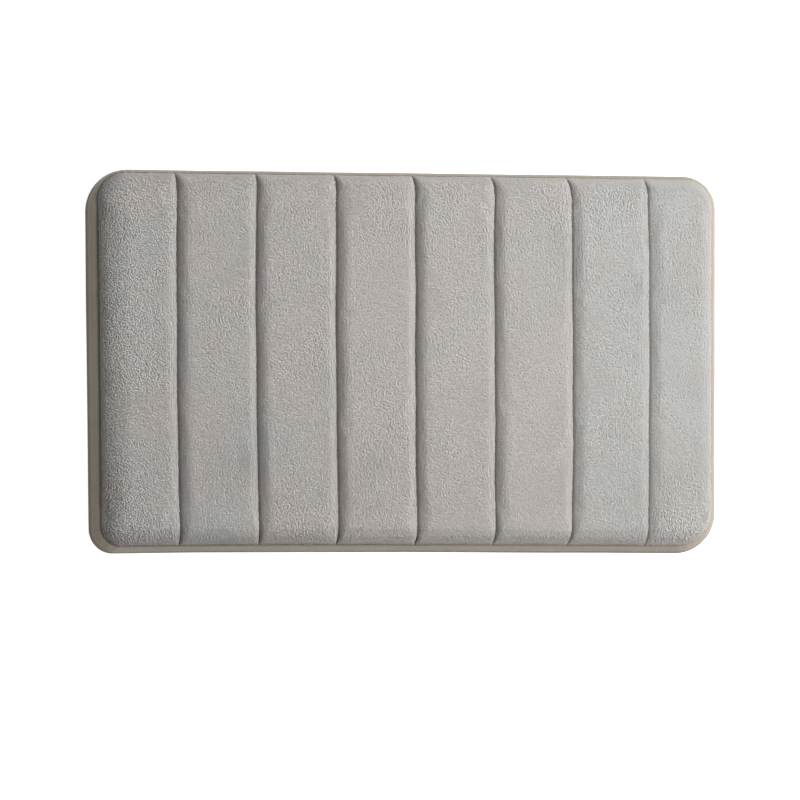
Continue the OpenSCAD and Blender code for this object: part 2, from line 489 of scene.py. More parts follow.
def by_side(xs, ys, left, right, near, far):
    """Each point's value from its side of the mat: each side has its own, and corners blend them."""
    by_x = np.clip((np.abs(xs) - face_half_l + SIDE_REACH) / SIDE_REACH, 0, 1) ** 2
    by_y = np.clip((np.abs(ys) - face_half_w + SIDE_REACH) / SIDE_REACH, 0, 1) ** 2
    share = by_y / np.maximum(by_x + by_y, 1e-9)
    across = np.where(xs < 0, left, right)
    return across + (np.where(ys < 0, near, far) - across) * share


def quilted_height(xs, ys, borders, inset, crest, seam_low, edge_low):
    """The height of a quilted sheet at each of its points."""
    seam_drop = np.zeros_like(xs)
    for border in borders[1:-1]:
        right_of = xs - border[:, None]
        width = np.where(right_of < 0, SHOULDER_LEFT, SHOULDER_RIGHT)
        seam_drop = np.maximum(seam_drop, quarter_round(np.abs(right_of), width))
    from_edge = inside_distance(xs, ys, face_half_l - inset, face_half_w - inset, FACE_CORNERS - inset)
    edge_drop = quarter_round(from_edge, by_side(xs, ys, ROLL_LEFT, ROLL_RIGHT, ROLL_NEAR, ROLL_FAR))
    seam_depth = crest - seam_low - SEAM_EASE * np.clip(xs / face_half_l, 0, 1)
    drops = (seam_drop * seam_depth, edge_drop * (crest - edge_low))
    return crest - sum(drop ** BLEND_POWER for drop in drops) ** (1 / BLEND_POWER)


def grid_faces(rows, columns):
    """The quads of a grid of points that are numbered row by row."""
    return [
        (r * columns + c, r * columns + c + 1, (r + 1) * columns + c + 1, (r + 1) * columns + c)
        for r in range(rows - 1) for c in range(columns - 1)
    ]


# %% [markdown]
# ## The fleece face
#
# The knitted ground of the fleece is one cloth.  Its first shape comes from the rule above.  Then
# Cloth simulation swells it between the seams: the seams and the hem are held, gravity is off,
# and a little air pressure with a little spare cloth makes it settle into shallow puckers beside
# the stitches, as padding does.  The foam below stops real fleece from moving far, so how far a
# point may move is capped.

# %% Lay out the ground of the fleece
PILE_LIFT = 2.4 * MM
FLEECE_T = 1.2 * MM
seam_floor = seam_z - 0.8 * MM
hem_z = join_z + 1.2 * MM

xs, ys, seam_columns, borders = quilted_grid(0, 0.9 * MM, 4.2 * MM)
zs = quilted_height(xs, ys, borders, 0, crest_z - PILE_LIFT, seam_floor, hem_z)
rows, columns = xs.shape
ground_points = as_cut(np.stack([xs, ys, zs], axis=2).reshape(-1, 3)) + FACE_SHIFT
ground = new_piece("plush_ground", ground_points, grid_faces(rows, columns), GROUND)
print("fleece ground:", rows, "x", columns, "points")


# %% Turn the hem under
def outward(point, half_l, half_w, corners):
    """The level direction that leads straight out of a rounded rectangle at a point on its edge."""
    corner_r = float(corner_radius(point.x, point.y, corners))
    middle_x = max(corner_r - half_l, min(half_l - corner_r, point.x))
    middle_y = max(corner_r - half_w, min(half_w - corner_r, point.y))
    return Vector((point.x - middle_x, point.y - middle_y, 0)).normalized()


def turn_under(piece, inward, new_z):
    """Adds one ring of faces that turns the sheet's border under, and returns its new points."""
    bm = bmesh.new()
    bm.from_mesh(piece.data)
    border = [edge for edge in bm.edges if edge.is_boundary]
    made = bmesh.ops.extrude_edge_only(bm, edges=border)["geom"]
    ring = [item for item in made if isinstance(item, bmesh.types.BMVert)]
    for point in ring:
        centred = point.co - Vector(FACE_SHIFT)
        point.co -= outward(centred, face_half_l, face_half_w, FACE_CORNERS) * inward
        point.co.z = new_z
    bmesh.ops.recalc_face_normals(bm, faces=bm.faces)
    if sum(face.normal.z for face in bm.faces) < 0:
        bmesh.ops.reverse_faces(bm, faces=bm.faces)
    bm.verts.index_update()
    numbers = [point.index for point in ring]
    bm.to_mesh(piece.data)
    bm.free()
    return numbers


hem = turn_under(ground, 2.0 * MM, join_z)
on_seams = [r * columns + c for r in range(rows) for c in seam_columns]

# %% Swell the fleece by simulation
SWELL_FRAMES = 16
SWELL_CAP = 0.6 * MM


def point_array(mesh):
    """The mesh's points as an array."""
    flat = np.zeros(len(mesh.vertices) * 3)
    mesh.vertices.foreach_get("co", flat)
    return flat.reshape(-1, 3)


def swell(piece, held, pressure, spare, cap):
    """Runs Cloth on the piece with the held points pinned, and keeps its shape, moved at most cap."""
    piece.vertex_groups.new(name="held").add(held, 1.0, "REPLACE")
    cloth = piece.modifiers.new("cloth", "CLOTH")
    cloth.settings.quality = 5
    cloth.settings.mass = 0.3
    cloth.settings.tension_stiffness = 12
    cloth.settings.compression_stiffness = 12
    cloth.settings.bending_stiffness = 0.4
    cloth.settings.vertex_group_mass = "held"
    cloth.settings.use_pressure = True
    cloth.settings.uniform_pressure_force = pressure
    cloth.settings.shrink_min = -spare
    cloth.settings.effector_weights.gravity = 0
    cloth.collision_settings.use_collision = False
    cloth.point_cache.frame_start = 1
    cloth.point_cache.frame_end = SWELL_FRAMES
    for number in range(1, SWELL_FRAMES + 1):
        bpy.context.scene.frame_set(number)
    before = point_array(piece.data)
    moved = point_array(piece.evaluated_get(bpy.context.evaluated_depsgraph_get()).data) - before
    piece.modifiers.remove(cloth)
    piece.vertex_groups.clear()
    bpy.context.scene.frame_set(1)
    length = np.linalg.norm(moved, axis=1)
    kept = cap * np.tanh(length / cap)
    moved *= (kept / np.maximum(length, 1e-9))[:, None]
    piece.data.vertices.foreach_set("co", (before + moved).ravel())
    piece.data.update()
    print("the cloth moved", round(length.max() / MM, 1), "mm, kept", round(kept.max() / MM, 1), "mm")


swell(ground, on_seams + hem, 0.6, 0.003, SWELL_CAP)
swollen = point_array(ground.data)[:rows * columns].reshape(rows, columns, 3)

# %% Give the ground its thickness
solidify = ground.modifiers.new("thickness", "SOLIDIFY")
solidify.thickness = FLEECE_T
solidify.offset = -1
apply_modifiers(ground)
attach(ground, "root")
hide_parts("plush_face")
print("fleece ground:", len(ground.data.polygons), "faces")

# %% [markdown]
# ## Helpers for Geometry Nodes
#
# Pile, stitches and dots are one small shape repeated thousands of times.  A node tree places
# them, and its sizes are inputs of the tree.  When the tree has run, the result is copied into a
# plain mesh, so that nothing is left to compute.

# %% Geometry Nodes helpers
def new_tree(name, sockets):
    """A node tree with a geometry input, the given inputs as (name, kind, value), and an output."""
    tree = bpy.data.node_groups.new(name, "GeometryNodeTree")
    tree.interface.new_socket("Geometry", in_out="INPUT", socket_type="NodeSocketGeometry")
    for socket_name, kind, value in sockets:
        socket = tree.interface.new_socket(socket_name, in_out="INPUT", socket_type=kind)
        if value is not None:
            socket.default_value = value
    tree.interface.new_socket("Geometry", in_out="OUTPUT", socket_type="NodeSocketGeometry")
    return tree, add_node(tree, "NodeGroupInput")


def end_tree(tree, instances, materials, softness=0.0):
    """Makes the instances real and smooth, and gives each its material by the number in dye.

    The softer they are to look, the more their normals are bent to those of the cloth.
    """
    last = add_node(tree, "GeometryNodeRealizeInstances", {"Geometry": instances})
    last = add_node(tree, "GeometryNodeSetShadeSmooth", {"Geometry": last.outputs["Geometry"]})
    if softness:
        own = add_node(tree, "GeometryNodeInputNormal").outputs["Normal"]
        cloths = add_node(tree, "GeometryNodeInputNamedAttribute", {
            "Name": "cloth_normal"}, data_type="FLOAT_VECTOR").outputs["Attribute"]
        bent = add_node(tree, "ShaderNodeMix", {"Factor": softness, 4: own, 5: cloths}, data_type="VECTOR")
        last = add_node(tree, "GeometryNodeSetMeshNormal", {
            "Mesh": last.outputs["Geometry"],
            "Custom Normal": bent.outputs[1],
        }, mode="FREE", domain="POINT")
        last = add_node(tree, "GeometryNodeRemoveAttribute", {
            "Geometry": last.outputs[0],
            "Name": "cloth_normal",
        })
    dye = add_node(tree, "GeometryNodeInputNamedAttribute", {"Name": "dye"}, data_type="INT")
    for number, material in enumerate(materials):
        values = {"Geometry": last.outputs["Geometry"], "Material": material}
        if len(materials) > 1:
            same = {2: dye.outputs["Attribute"], 3: number}
            chosen = add_node(tree, "FunctionNodeCompare", same, data_type="INT", operation="EQUAL")
            values["Selection"] = chosen.outputs["Result"]
        last = add_node(tree, "GeometryNodeSetMaterial", values)
    add_node(tree, "NodeGroupOutput", {"Geometry": last.outputs["Geometry"]})


def grow(carrier, tree, name, **values):
    """Runs the tree on the carrier and returns what it makes as a plain piece called name."""
    modifier = carrier.modifiers.new("grow", "NODES")
    modifier.node_group = tree
    for item in tree.interface.items_tree:
        if item.in_out == "INPUT" and item.name in values:
            modifier[item.identifier] = values[item.name]
    apply_modifiers(carrier)
    carrier.name = carrier.data.name = name
    for used in ("dye", "parting", "tuft_size"):
        if used in carrier.data.attributes:
            carrier.data.attributes.remove(carrier.data.attributes[used])
    return carrier


# %% [markdown]
# ## The pile
#
# Each tuft is a clump of fibres that stands up from the ground and then bends over, because the
# pile was brushed and packed flat.  It is a bent, pointed drop with three sides: many thousands
# of them are needed, and the eye only sees the grain that they make together.  Fibres as fine as
# these shade like the cloth they stand on, so the tufts' normals are bent almost to the cloth's.
#
# The tree scatters tufts by Poisson disk, which keeps them a set distance apart.  It turns each
# one so that it stands on the cloth and leans along the nap.  The nap swings slowly over the mat,
# as it does after a hand has passed over it, and a finer noise ruffles it, less towards the right
# end.  The dye is chosen by noise as well, with a bias for each channel, because the panels
# between two seams catch the light as slightly different greys.
#
# Where the fleece rolls down to its hem, and slowly towards the near side, the pile gets darker
# shades: this is painted shade.  How much painted shade it gets, and how small its tufts are close
# to the hem, are worked out for every point of the cloth, which carries both numbers into the tree.

# %% One tuft
TUFT_RISE = 0.7 * MM
TUFT_REACH = 2.6 * MM
TUFT_ROOT_DEPTH = 0.4 * MM
SOFT_SHADING = 0.96


def tuft_shape(sides=3):
    """A closed bent drop: rings of points along an arc that starts upright and ends level."""
    marks = ((0.0, 0.9), (0.5, 1.2), (0.85, 0.85))
    vertices = []
    for share, radius in marks:
        middle = Vector((TUFT_REACH * share ** 2, 0, TUFT_RISE * (1 - (1 - share) ** 2) - TUFT_ROOT_DEPTH))
        bend = math.atan2(2 * TUFT_REACH * share, 2 * TUFT_RISE * (1 - share))
        for side in range(sides):
            turn = 2 * math.pi * side / sides
            level, rise = math.cos(turn) * math.cos(bend), -math.cos(turn) * math.sin(bend)
            vertices.append(middle + Vector((level, math.sin(turn), rise)) * radius * MM)
    vertices.append(Vector((TUFT_REACH * 1.15, 0, TUFT_RISE - TUFT_ROOT_DEPTH - 0.2 * MM)))
    faces = [tuple(reversed(range(sides)))]
    for ring in range(len(marks) - 1):
        for side in range(sides):
            a, b = ring * sides + side, ring * sides + (side + 1) % sides
            faces.append((a, b, b + sides, a + sides))
    last = (len(marks) - 1) * sides
    faces += [(last + side, last + (side + 1) % sides, len(vertices) - 1) for side in range(sides)]
    return new_piece("tuft", vertices, faces)


# %% The tree that grows the pile
NAP_SWING = 3.2
RUFFLE = 2.4
USUAL_SHADE = 4.1


def pile_tree():
    """Scatters tufts on the cloth, turned along the nap and dyed by noise."""
    tree, given = new_tree("fleece_pile", [
        ("Tuft", "NodeSocketObject", None),
        ("Spacing", "NodeSocketFloat", 2.0 * MM),
        ("Size", "NodeSocketFloat", 1.0),
        ("Nap Angle", "NodeSocketFloat", 0.0),
        ("Warmth", "NodeSocketFloat", 0.0),
        ("Seed", "NodeSocketInt", 1),
    ])

    def math_node(operation, *values):
        """One arithmetic step, as its output socket."""
        return add_node(tree, "ShaderNodeMath", dict(enumerate(values)), operation=operation).outputs[0]

    place = add_node(tree, "GeometryNodeInputPosition").outputs["Position"]

    def cloud(size, detail=1.0):
        """Noise from about -0.5 to 0.5 with patches of the given size."""
        patches = add_node(tree, "ShaderNodeTexNoise", {
            "Vector": place, "Scale": 1 / size, "Detail": detail})
        return math_node("SUBTRACT", patches.outputs[0], 0.5)

    def clamped(value, low, high):
        """A value kept between two limits."""
        return math_node("MINIMUM", math_node("MAXIMUM", value, low), high)

    def random(low, high, seed):
        """A random number for each point."""
        value = add_node(tree, "FunctionNodeRandomValue", {2: low, 3: high, "Seed": seed}, data_type="FLOAT")
        return value.outputs[1]

    def from_cloth(name):
        """A number that the cloth carries at each of its points."""
        value = add_node(tree, "GeometryNodeInputNamedAttribute", {"Name": name}, data_type="FLOAT")
        return value.outputs["Attribute"]

    spacing = given.outputs["Spacing"]
    crowd = math_node("DIVIDE", 3.0, math_node("MULTIPLY", spacing, spacing))
    points = add_node(tree, "GeometryNodeDistributePointsOnFaces", {
        "Mesh": given.outputs["Geometry"],
        "Distance Min": spacing,
        "Density Max": crowd,
        "Seed": given.outputs["Seed"],
    }, distribute_method="POISSON")

    swing = math_node("MULTIPLY", cloud(70 * MM), NAP_SWING)
    from_middle = add_node(tree, "ShaderNodeSeparateXYZ", {0: place}).outputs["X"]
    roughness = math_node("SUBTRACT", 0.75, math_node("MULTIPLY", from_middle, 1.7))
    roughness = clamped(roughness, 0.12, 1.0)
    ruffle = math_node("MULTIPLY", cloud(7 * MM), math_node("MULTIPLY", roughness, RUFFLE))
    angle = math_node("ADD", given.outputs["Nap Angle"], math_node("ADD", swing, ruffle))
    nap = add_node(tree, "ShaderNodeCombineXYZ", {
        0: math_node("COSINE", angle),
        1: math_node("SINE", angle),
    })
    upright = add_node(tree, "FunctionNodeAlignRotationToVector", {
        "Vector": points.outputs["Normal"],
    }, axis="Z")
    leaning = add_node(tree, "FunctionNodeAlignRotationToVector", {
        "Rotation": upright.outputs[0],
        "Vector": nap.outputs[0],
    }, axis="X", pivot_axis="Z")
    sway = add_node(tree, "FunctionNodeRandomValue", {
        0: (-0.06, -0.08, -0.45), 1: (0.06, 0.08, 0.45), "Seed": 7}, data_type="FLOAT_VECTOR")
    turned = add_node(tree, "FunctionNodeRotateRotation", {
        "Rotation": leaning.outputs[0],
        "Rotate By": sway.outputs[0],
    }, rotation_space="LOCAL")

    tuft = add_node(tree, "GeometryNodeObjectInfo", {"Object": given.outputs["Tuft"], "As Instance": True})
    marked = add_node(tree, "GeometryNodeStoreNamedAttribute", {
        "Geometry": points.outputs["Points"],
        "Name": "cloth_normal",
        "Value": points.outputs["Normal"],
    }, data_type="FLOAT_VECTOR", domain="POINT")
    size = math_node("MULTIPLY", given.outputs["Size"], from_cloth("tuft_size"))
    tufts = add_node(tree, "GeometryNodeInstanceOnPoints", {
        "Points": marked.outputs["Geometry"],
        "Instance": tuft.outputs["Geometry"],
        "Rotation": turned.outputs[0],
        "Scale": math_node("MULTIPLY", random(0.9, 1.1, seed=11), size),
    })

    grain = random(-0.75, 0.75, seed=3)
    warmth = math_node("ADD", given.outputs["Warmth"], math_node("MULTIPLY", cloud(60 * MM, 2.0), 5.0))
    warmth = math_node("ADD", warmth, math_node("MULTIPLY", grain, 0.7))
    family = math_node("ADD", clamped(math_node("ROUND", warmth), -1.0, 1.0), 1.0)

    # How many shades of painted shade the cloth carries at this point.
    parting = from_cloth("parting")
    brush = math_node("ADD", math_node("MULTIPLY", cloud(3 * MM), 2.4), math_node("MULTIPLY", grain, 0.5))
    calm = math_node("MAXIMUM", parting, 1.0)
    brush = math_node("DIVIDE", math_node("MULTIPLY", brush, roughness), calm)
    level = math_node("SUBTRACT", math_node("ADD", brush, USUAL_SHADE), parting)
    shade = clamped(math_node("ROUND", level), 0.0, len(SHADES) - 1.0)
    dye = math_node("ADD", math_node("MULTIPLY", family, float(len(SHADES))), shade)
    dyed = add_node(tree, "GeometryNodeStoreNamedAttribute", {
        "Geometry": tufts.outputs["Instances"],
        "Name": "dye",
        "Value": dye,
    }, data_type="INT", domain="INSTANCE")
    end_tree(tree, dyed.outputs["Geometry"], PILE, SOFT_SHADING)
    return tree


# %% Where the pile gets painted shade
def painted_shade_steps(distance, reach, fade, most):
    """How many shades of painted shade the pile gets at a distance from an edge: none past reach."""
    return np.clip((reach - distance) / fade, 0, most)


def pile_painted_shade(xs, ys):
    """How many shades of painted shade the pile gets at each point of the cloth."""
    from_edge = inside_distance(xs, ys, face_half_l, face_half_w, FACE_CORNERS)
    far_most = np.clip((xs - 0.2) * 11, 0.6, 1.7)
    # Painted shade along the hems: most at the left end and the near side, and along the far side mostly
    # towards the right end.
    at_hem = by_side(
        xs, ys,
        left=painted_shade_steps(from_edge, 37 * MM, 10.5 * MM, 3.1),
        right=painted_shade_steps(from_edge, 9 * MM, 5 * MM, 1.6),
        near=painted_shade_steps(from_edge, 22 * MM, 7.2 * MM, 2.7),
        far=painted_shade_steps(from_edge, 20 * MM, 12 * MM, 1.0) * far_most,
    )
    # A slow painted shade also grows towards the near side over the whole mat.
    return at_hem + painted_shade_steps(ys + face_half_w, 250 * MM, 200 * MM, 1.0)


SMALL_TUFT_RUN = 7 * MM
# The cloth carries the painted shade and the tuft size at each of its points.
carried_values = {
    "parting": pile_painted_shade(xs, ys),
    "tuft_size": np.clip(
        inside_distance(xs, ys, face_half_l, face_half_w, FACE_CORNERS) / SMALL_TUFT_RUN, 0.5, 1.0),
}

# %% Grow the pile, channel by channel
TUFT_SPACING = 1.9 * MM
NAP_ANGLE = math.radians(-50)
CHANNEL_WARMTH = (0.0, 0.0, 0.4, 1.0, 0.3, 0.2, -0.5, -0.6)

tuft = tuft_shape()
tree = pile_tree()
edges_of_channels = [0] + seam_columns + [columns - 1]
for k in range(seam_count + 1):
    strip = slice(edges_of_channels[k], edges_of_channels[k + 1] + 1)
    patch = swollen[:, strip]
    carrier = new_piece("patch", patch.reshape(-1, 3), grid_faces(rows, patch.shape[1]))
    for name, values in carried_values.items():
        carried = carrier.data.attributes.new(name, "FLOAT", "POINT")
        carried.data.foreach_set("value", values[:, strip].ravel())
    pile = grow(
        carrier, tree, f"plush_pile_{k + 1}",
        Tuft=tuft, Spacing=TUFT_SPACING, Size=1.0, Seed=20 + k,
        **{"Nap Angle": NAP_ANGLE, "Warmth": CHANNEL_WARMTH[k]},
    )
    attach(pile, "root")
    print(pile.name, len(pile.data.polygons), "faces")
bpy.data.objects.remove(tuft)

# %% [markdown]
# ## The foam core and the cloth that holds the stitches
#
# Neither can be seen in the finished mat, but both are there on the real one.  The foam is one
# slab.  The stitching presses grooves into its top, and its side bulges out against the band.  It
# is made as a top grid under the fleece and a flat bottom grid that fills the mat's outline, with
# rings of points between their borders.

# %% Foam
FOAM_CREST = foam_high.z - 0.3 * MM
FOAM_GROOVE = seam_floor - FLEECE_T - 0.4 * MM
FOAM_INSET = 4.5 * MM
FOAM_BULGE = 1.6 * MM
SIDE_RINGS = 6


def border_numbers(rows, columns):
    """The numbers of a grid's border points, once round."""
    near = [c for c in range(columns)]
    right = [r * columns + columns - 1 for r in range(1, rows)]
    far = [(rows - 1) * columns + c for c in range(columns - 2, -1, -1)]
    left = [r * columns for r in range(rows - 2, 0, -1)]
    return near + right + far + left


fx, fy, _, foam_borders = quilted_grid(FOAM_INSET, 1.6 * MM, 7 * MM)
fz = quilted_height(fx, fy, foam_borders, FOAM_INSET, FOAM_CREST, FOAM_GROOVE, join_z - 1.0 * MM)
foam_rows, foam_columns = fx.shape
foam_top = np.stack([fx, fy, fz], axis=2).reshape(-1, 3) + FACE_SHIFT
under_half_l = foam_high.x - 1.5 * MM
under_half_w = foam_high.y - 1.5 * MM
under_corners = SEWN_CORNERS - 2 * MM
under_y = fy * under_half_w / fy.max()
left, right = (
    side_reach(side, under_y[:, :1], under_half_l, under_half_w, under_corners) for side in (-1, 1))
under_x = left + (right - left) * (fx - fx[:, :1]) / (fx[:, -1:] - fx[:, :1])
foam_bottom = np.stack([under_x, under_y, np.full_like(fx, foam_low.z + 0.2 * MM)], axis=2).reshape(-1, 3)
loop = border_numbers(foam_rows, foam_columns)
shares = np.arange(1, SIDE_RINGS) / SIDE_RINGS
rings = []
for share in shares:
    ring = foam_top[loop] * (1 - share) + foam_bottom[loop] * share
    spread = 1 + FOAM_BULGE * math.sin(math.pi * share) / np.array([mat_half_l, mat_half_w, 1e9])
    rings.append(ring * spread)
foam_points = as_cut(np.concatenate([foam_top, foam_bottom] + rings))

grid_size = foam_rows * foam_columns
foam_faces = grid_faces(foam_rows, foam_columns)
foam_faces += [tuple(grid_size + n for n in reversed(face)) for face in grid_faces(foam_rows, foam_columns)]
levels = [loop] + [[2 * grid_size + i * len(loop) + n for n in range(len(loop))] for i in range(len(rings))]
levels.append([grid_size + n for n in loop])
for upper, lower in zip(levels, levels[1:]):
    for n in range(len(loop)):
        after = (n + 1) % len(loop)
        foam_faces.append((upper[n], lower[n], lower[after], upper[after]))
foam = new_piece("memory_foam", foam_points, foam_faces, FOAM)
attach(foam, "root")
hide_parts("foam_core")
print("foam:", len(foam.data.polygons), "faces")


# %% Flat cloths: the scrim and the backing
def rounded_sheet(name, half_l, half_w, corners, z, thickness, material, step=9 * MM):
    """A thin closed sheet with round corners, and a UV map in metres called weave."""
    sheet_y = half_w * np.sin(np.linspace(-math.pi / 2, math.pi / 2, round(2 * half_w / step)))
    left, right = (side_reach(side, sheet_y, half_l, half_w, corners) for side in (-1, 1))
    shares = np.linspace(0, 1, round(2 * half_l / step))
    grid_x = left[:, None] + (right - left)[:, None] * shares[None, :]
    grid_y = np.repeat(sheet_y[:, None], len(shares), axis=1)
    points = as_cut(np.stack([grid_x, grid_y, np.full_like(grid_x, z + thickness)], axis=2).reshape(-1, 3))
    piece = new_piece(name, points, grid_faces(len(sheet_y), len(shares)), material)
    flat_map(piece)
    solidify = piece.modifiers.new("thickness", "SOLIDIFY")
    solidify.thickness = thickness
    solidify.offset = -1
    apply_modifiers(piece)
    return piece


def flat_map(piece):
    """Lays the UV map weave on a level sheet, one unit to the metre."""
    weave = piece.data.uv_layers.new(name="weave")
    for loop_item, uv in zip(piece.data.loops, weave.data):
        uv.uv = piece.data.vertices[loop_item.vertex_index].co.xy


CLOTH_T = 0.35 * MM
scrim = rounded_sheet("stitching_scrim", scrim_high.x, scrim_high.y, SEWN_CORNERS - 4 * MM,
                      scrim_low.z, CLOTH_T, SCRIM)
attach(scrim, "root")
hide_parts("quilting_scrim")

backing = rounded_sheet("backing_cloth", base_high.x, base_high.y, SEWN_CORNERS - 0.8 * MM,
                        base_low.z, base_high.z - base_low.z, BASE_CLOTH)
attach(backing, "root")
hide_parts("base_cloth")
print("scrim and backing:", len(scrim.data.polygons), len(backing.data.polygons), "faces")

# %% [markdown]
# ## The side band
#
# The band is a strip of smooth knit cloth, stitched to the fleece along its top edge and to the
# backing along its bottom edge.  The foam pushes it out, so its section is round, furthest out
# near the floor.  It is swept here round two outlines with matching points: the fleece's outline
# inside and the mat's outline outside.  The cloth is drawn in a little at each stitch and gathers
# more at the corners, so small puckers run down from the top seam.

# %% Outline round the mat
STATIONS_LONG = 300
STATIONS_SHORT = 180
STATIONS_CORNER = 24


def outline(half_l, half_w, corners):
    """Points and outward directions round a rounded rectangle, as many whatever its size."""
    places, directions = [], []
    signs = ((1, -1), (1, 1), (-1, 1), (-1, -1))
    radii = [float(corner_radius(*sign, corners)) for sign in signs]
    middles = [Vector((sx * (half_l - r), sy * (half_w - r))) for (sx, sy), r in zip(signs, radii)]
    for number, (middle, corner_r) in enumerate(zip(middles, radii)):
        first_turn = (number - 1) * math.pi / 2
        for step in range(STATIONS_CORNER):
            turn = first_turn + math.pi / 2 * step / STATIONS_CORNER
            direction = Vector((math.cos(turn), math.sin(turn)))
            places.append(middle + direction * corner_r)
            directions.append(direction)
        direction = Vector((math.cos(first_turn + math.pi / 2), math.sin(first_turn + math.pi / 2)))
        after = (number + 1) % 4
        start, end = middle + direction * corner_r, middles[after] + direction * radii[after]
        stations = STATIONS_SHORT if number % 2 == 0 else STATIONS_LONG
        for step in range(stations):
            places.append(start.lerp(end, step / stations))
            directions.append(direction)
    return as_cut(np.array(places)), np.array(directions)


# %% Sweep the band
BAND_T = 0.9 * MM
BELLY_Z = 3 * MM
BAND_OUT = -0.5 * MM
FIRST_TURN = math.radians(22)


def band_profile():
    """Share of the way out and height, from the hem under the fleece to the hem under the foam."""
    hem = [(-0.35, join_z - 0.8 * MM), (-0.12, join_z - 0.3 * MM)]
    steps = 14
    arc = []
    for step in range(steps + 1):
        turn = FIRST_TURN + (math.pi / 2 - FIRST_TURN) * step / steps
        out = (math.sin(turn) - math.sin(FIRST_TURN)) / (1 - math.sin(FIRST_TURN))
        rise = math.cos(turn) / math.cos(FIRST_TURN)
        arc.append((out, BELLY_Z + (join_z - BELLY_Z) * rise))
    return hem + arc + [(0.97, 2.2 * MM), (0.85, 1.75 * MM), (0.6, 1.9 * MM)]


inner, directions = outline(face_half_l + 0.6 * MM, face_half_w + 0.6 * MM, FACE_CORNERS + 0.6 * MM)
inner = inner + FACE_SHIFT[:2]
outer, _ = outline(mat_half_l - BAND_OUT, mat_half_w - BAND_OUT, SEWN_CORNERS - BAND_OUT)
profile = band_profile()
along = np.concatenate([[0], np.cumsum(np.linalg.norm(np.diff(outer, axis=0), axis=1))])
turning = np.abs(np.gradient(np.unwrap(np.arctan2(directions[:, 1], directions[:, 0]))))
cornerness = np.clip(turning / turning.max(), 0, 1)
PUCKER_PITCH = 11 * MM
SOFTNESS = 0.7 * MM


def pucker(station, share):
    """How far the band stands out of its plain shape at one station, at one share of the way out."""
    s = along[station]
    pull = math.sin(2 * math.pi * s / PUCKER_PITCH + 1.5 * math.sin(s * 17))
    strength = (0.10 + 0.30 * cornerness[station]) * MM * max(0.0, 1 - abs(share - 0.25) * 1.6)
    slow = noise.noise(Vector((outer[station][0] * 9, outer[station][1] * 9, share * 0.8)))
    return pull * strength + slow * SOFTNESS * max(0.0, min(1.0, share * 2)) * (1 - 0.4 * share)


band_points = []
for share, z in profile:
    for station in range(len(inner)):
        place = inner[station] + (outer[station] - inner[station]) * share
        place = place + directions[station] * pucker(station, share)
        band_points.append((place[0], place[1], z + 0.35 * pucker(station, share)))
stations = len(inner)
band_faces, band_uvs = [], []
down = np.concatenate([[0], np.cumsum([math.hypot((b[0] - a[0]) * 10 * MM, b[1] - a[1])
                                       for a, b in zip(profile, profile[1:])])])
for row in range(len(profile) - 1):
    for station in range(stations):
        after = (station + 1) % stations
        a, b = row * stations + station, row * stations + after
        band_faces.append((a, a + stations, b + stations, b))
        left, right = along[station], along[station] + np.linalg.norm(outer[after] - outer[station])
        band_uvs += [(left, down[row]), (left, down[row + 1]), (right, down[row + 1]), (right, down[row])]
band = new_piece("side_band_cloth", band_points, band_faces, BAND_CLOTH)
weave = band.data.uv_layers.new(name="weave")
for uv, place in zip(weave.data, band_uvs):
    uv.uv = place
solidify = band.modifiers.new("thickness", "SOLIDIFY")
solidify.thickness = BAND_T
solidify.offset = -1
apply_modifiers(band)
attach(band, "root")
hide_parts("side_band")
print("side band:", len(band.data.polygons), "faces")
print("the band was cut", round(down[-1] / MM), "x", round(along[-1] / MM), "mm")

# %% [markdown]
# ## Stitches
#
# A lockstitch shows as a row of short thread loops, each pulled into the cloth at its ends.  A
# tree turns a line into points one stitch apart and puts a flattened bead at each, turned along
# the line.

# %% The stitch tree and the seams
STITCH = 3.2 * MM
STITCH_GAP = 0.8 * MM
THREAD_D = 0.8 * MM


def stitch_tree():
    """Rows of stitches along lines."""
    tree, given = new_tree("lockstitch", [
        ("Stitch", "NodeSocketFloat", STITCH),
        ("Gap", "NodeSocketFloat", STITCH_GAP),
        ("Thread", "NodeSocketFloat", THREAD_D),
    ])
    pitch = add_node(tree, "ShaderNodeMath", {
        0: given.outputs["Stitch"], 1: given.outputs["Gap"]}, operation="ADD")
    line = add_node(tree, "GeometryNodeMeshToCurve", {"Mesh": given.outputs["Geometry"]})
    marks = add_node(tree, "GeometryNodeCurveToPoints", {
        "Curve": line.outputs["Curve"],
        "Length": pitch.outputs[0],
    }, mode="LENGTH")
    turned = add_node(tree, "FunctionNodeAlignRotationToVector", {
        "Vector": marks.outputs["Tangent"]}, axis="Z")
    bead = add_node(tree, "GeometryNodeMeshUVSphere", {"Segments": 6, "Rings": 5, "Radius": 0.5})
    size = add_node(tree, "ShaderNodeCombineXYZ", {
        0: given.outputs["Thread"], 1: given.outputs["Thread"], 2: given.outputs["Stitch"]})
    stitches = add_node(tree, "GeometryNodeInstanceOnPoints", {
        "Points": marks.outputs["Points"],
        "Instance": bead.outputs["Mesh"],
        "Rotation": turned.outputs[0],
        "Scale": size.outputs[0],
    })
    end_tree(tree, stitches.outputs["Instances"], [THREAD])
    return tree


def sew(tree, name, points, closed, node):
    """Stitches along a line of points, which stand for one CAD thread."""
    count = len(points)
    links = [(n, n + 1) for n in range(count - 1)] + ([(count - 1, 0)] if closed else [])
    mesh = bpy.data.meshes.new(name)
    mesh.from_pydata([tuple(point) for point in points], links, [])
    line = bpy.data.objects.new(name, mesh)
    bpy.context.scene.collection.objects.link(line)
    piece = grow(line, tree, name, Stitch=STITCH, Gap=STITCH_GAP, Thread=THREAD_D)
    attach(piece, "root")
    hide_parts(node)
    return piece


stitches = stitch_tree()
for number, column in enumerate(seam_columns, 1):
    line = swollen[2:-2, column] + [0, 0, 0.25 * MM]
    sew(stitches, f"quilting_stitches_{number}", line, False, f"quilt_thread_{number}")

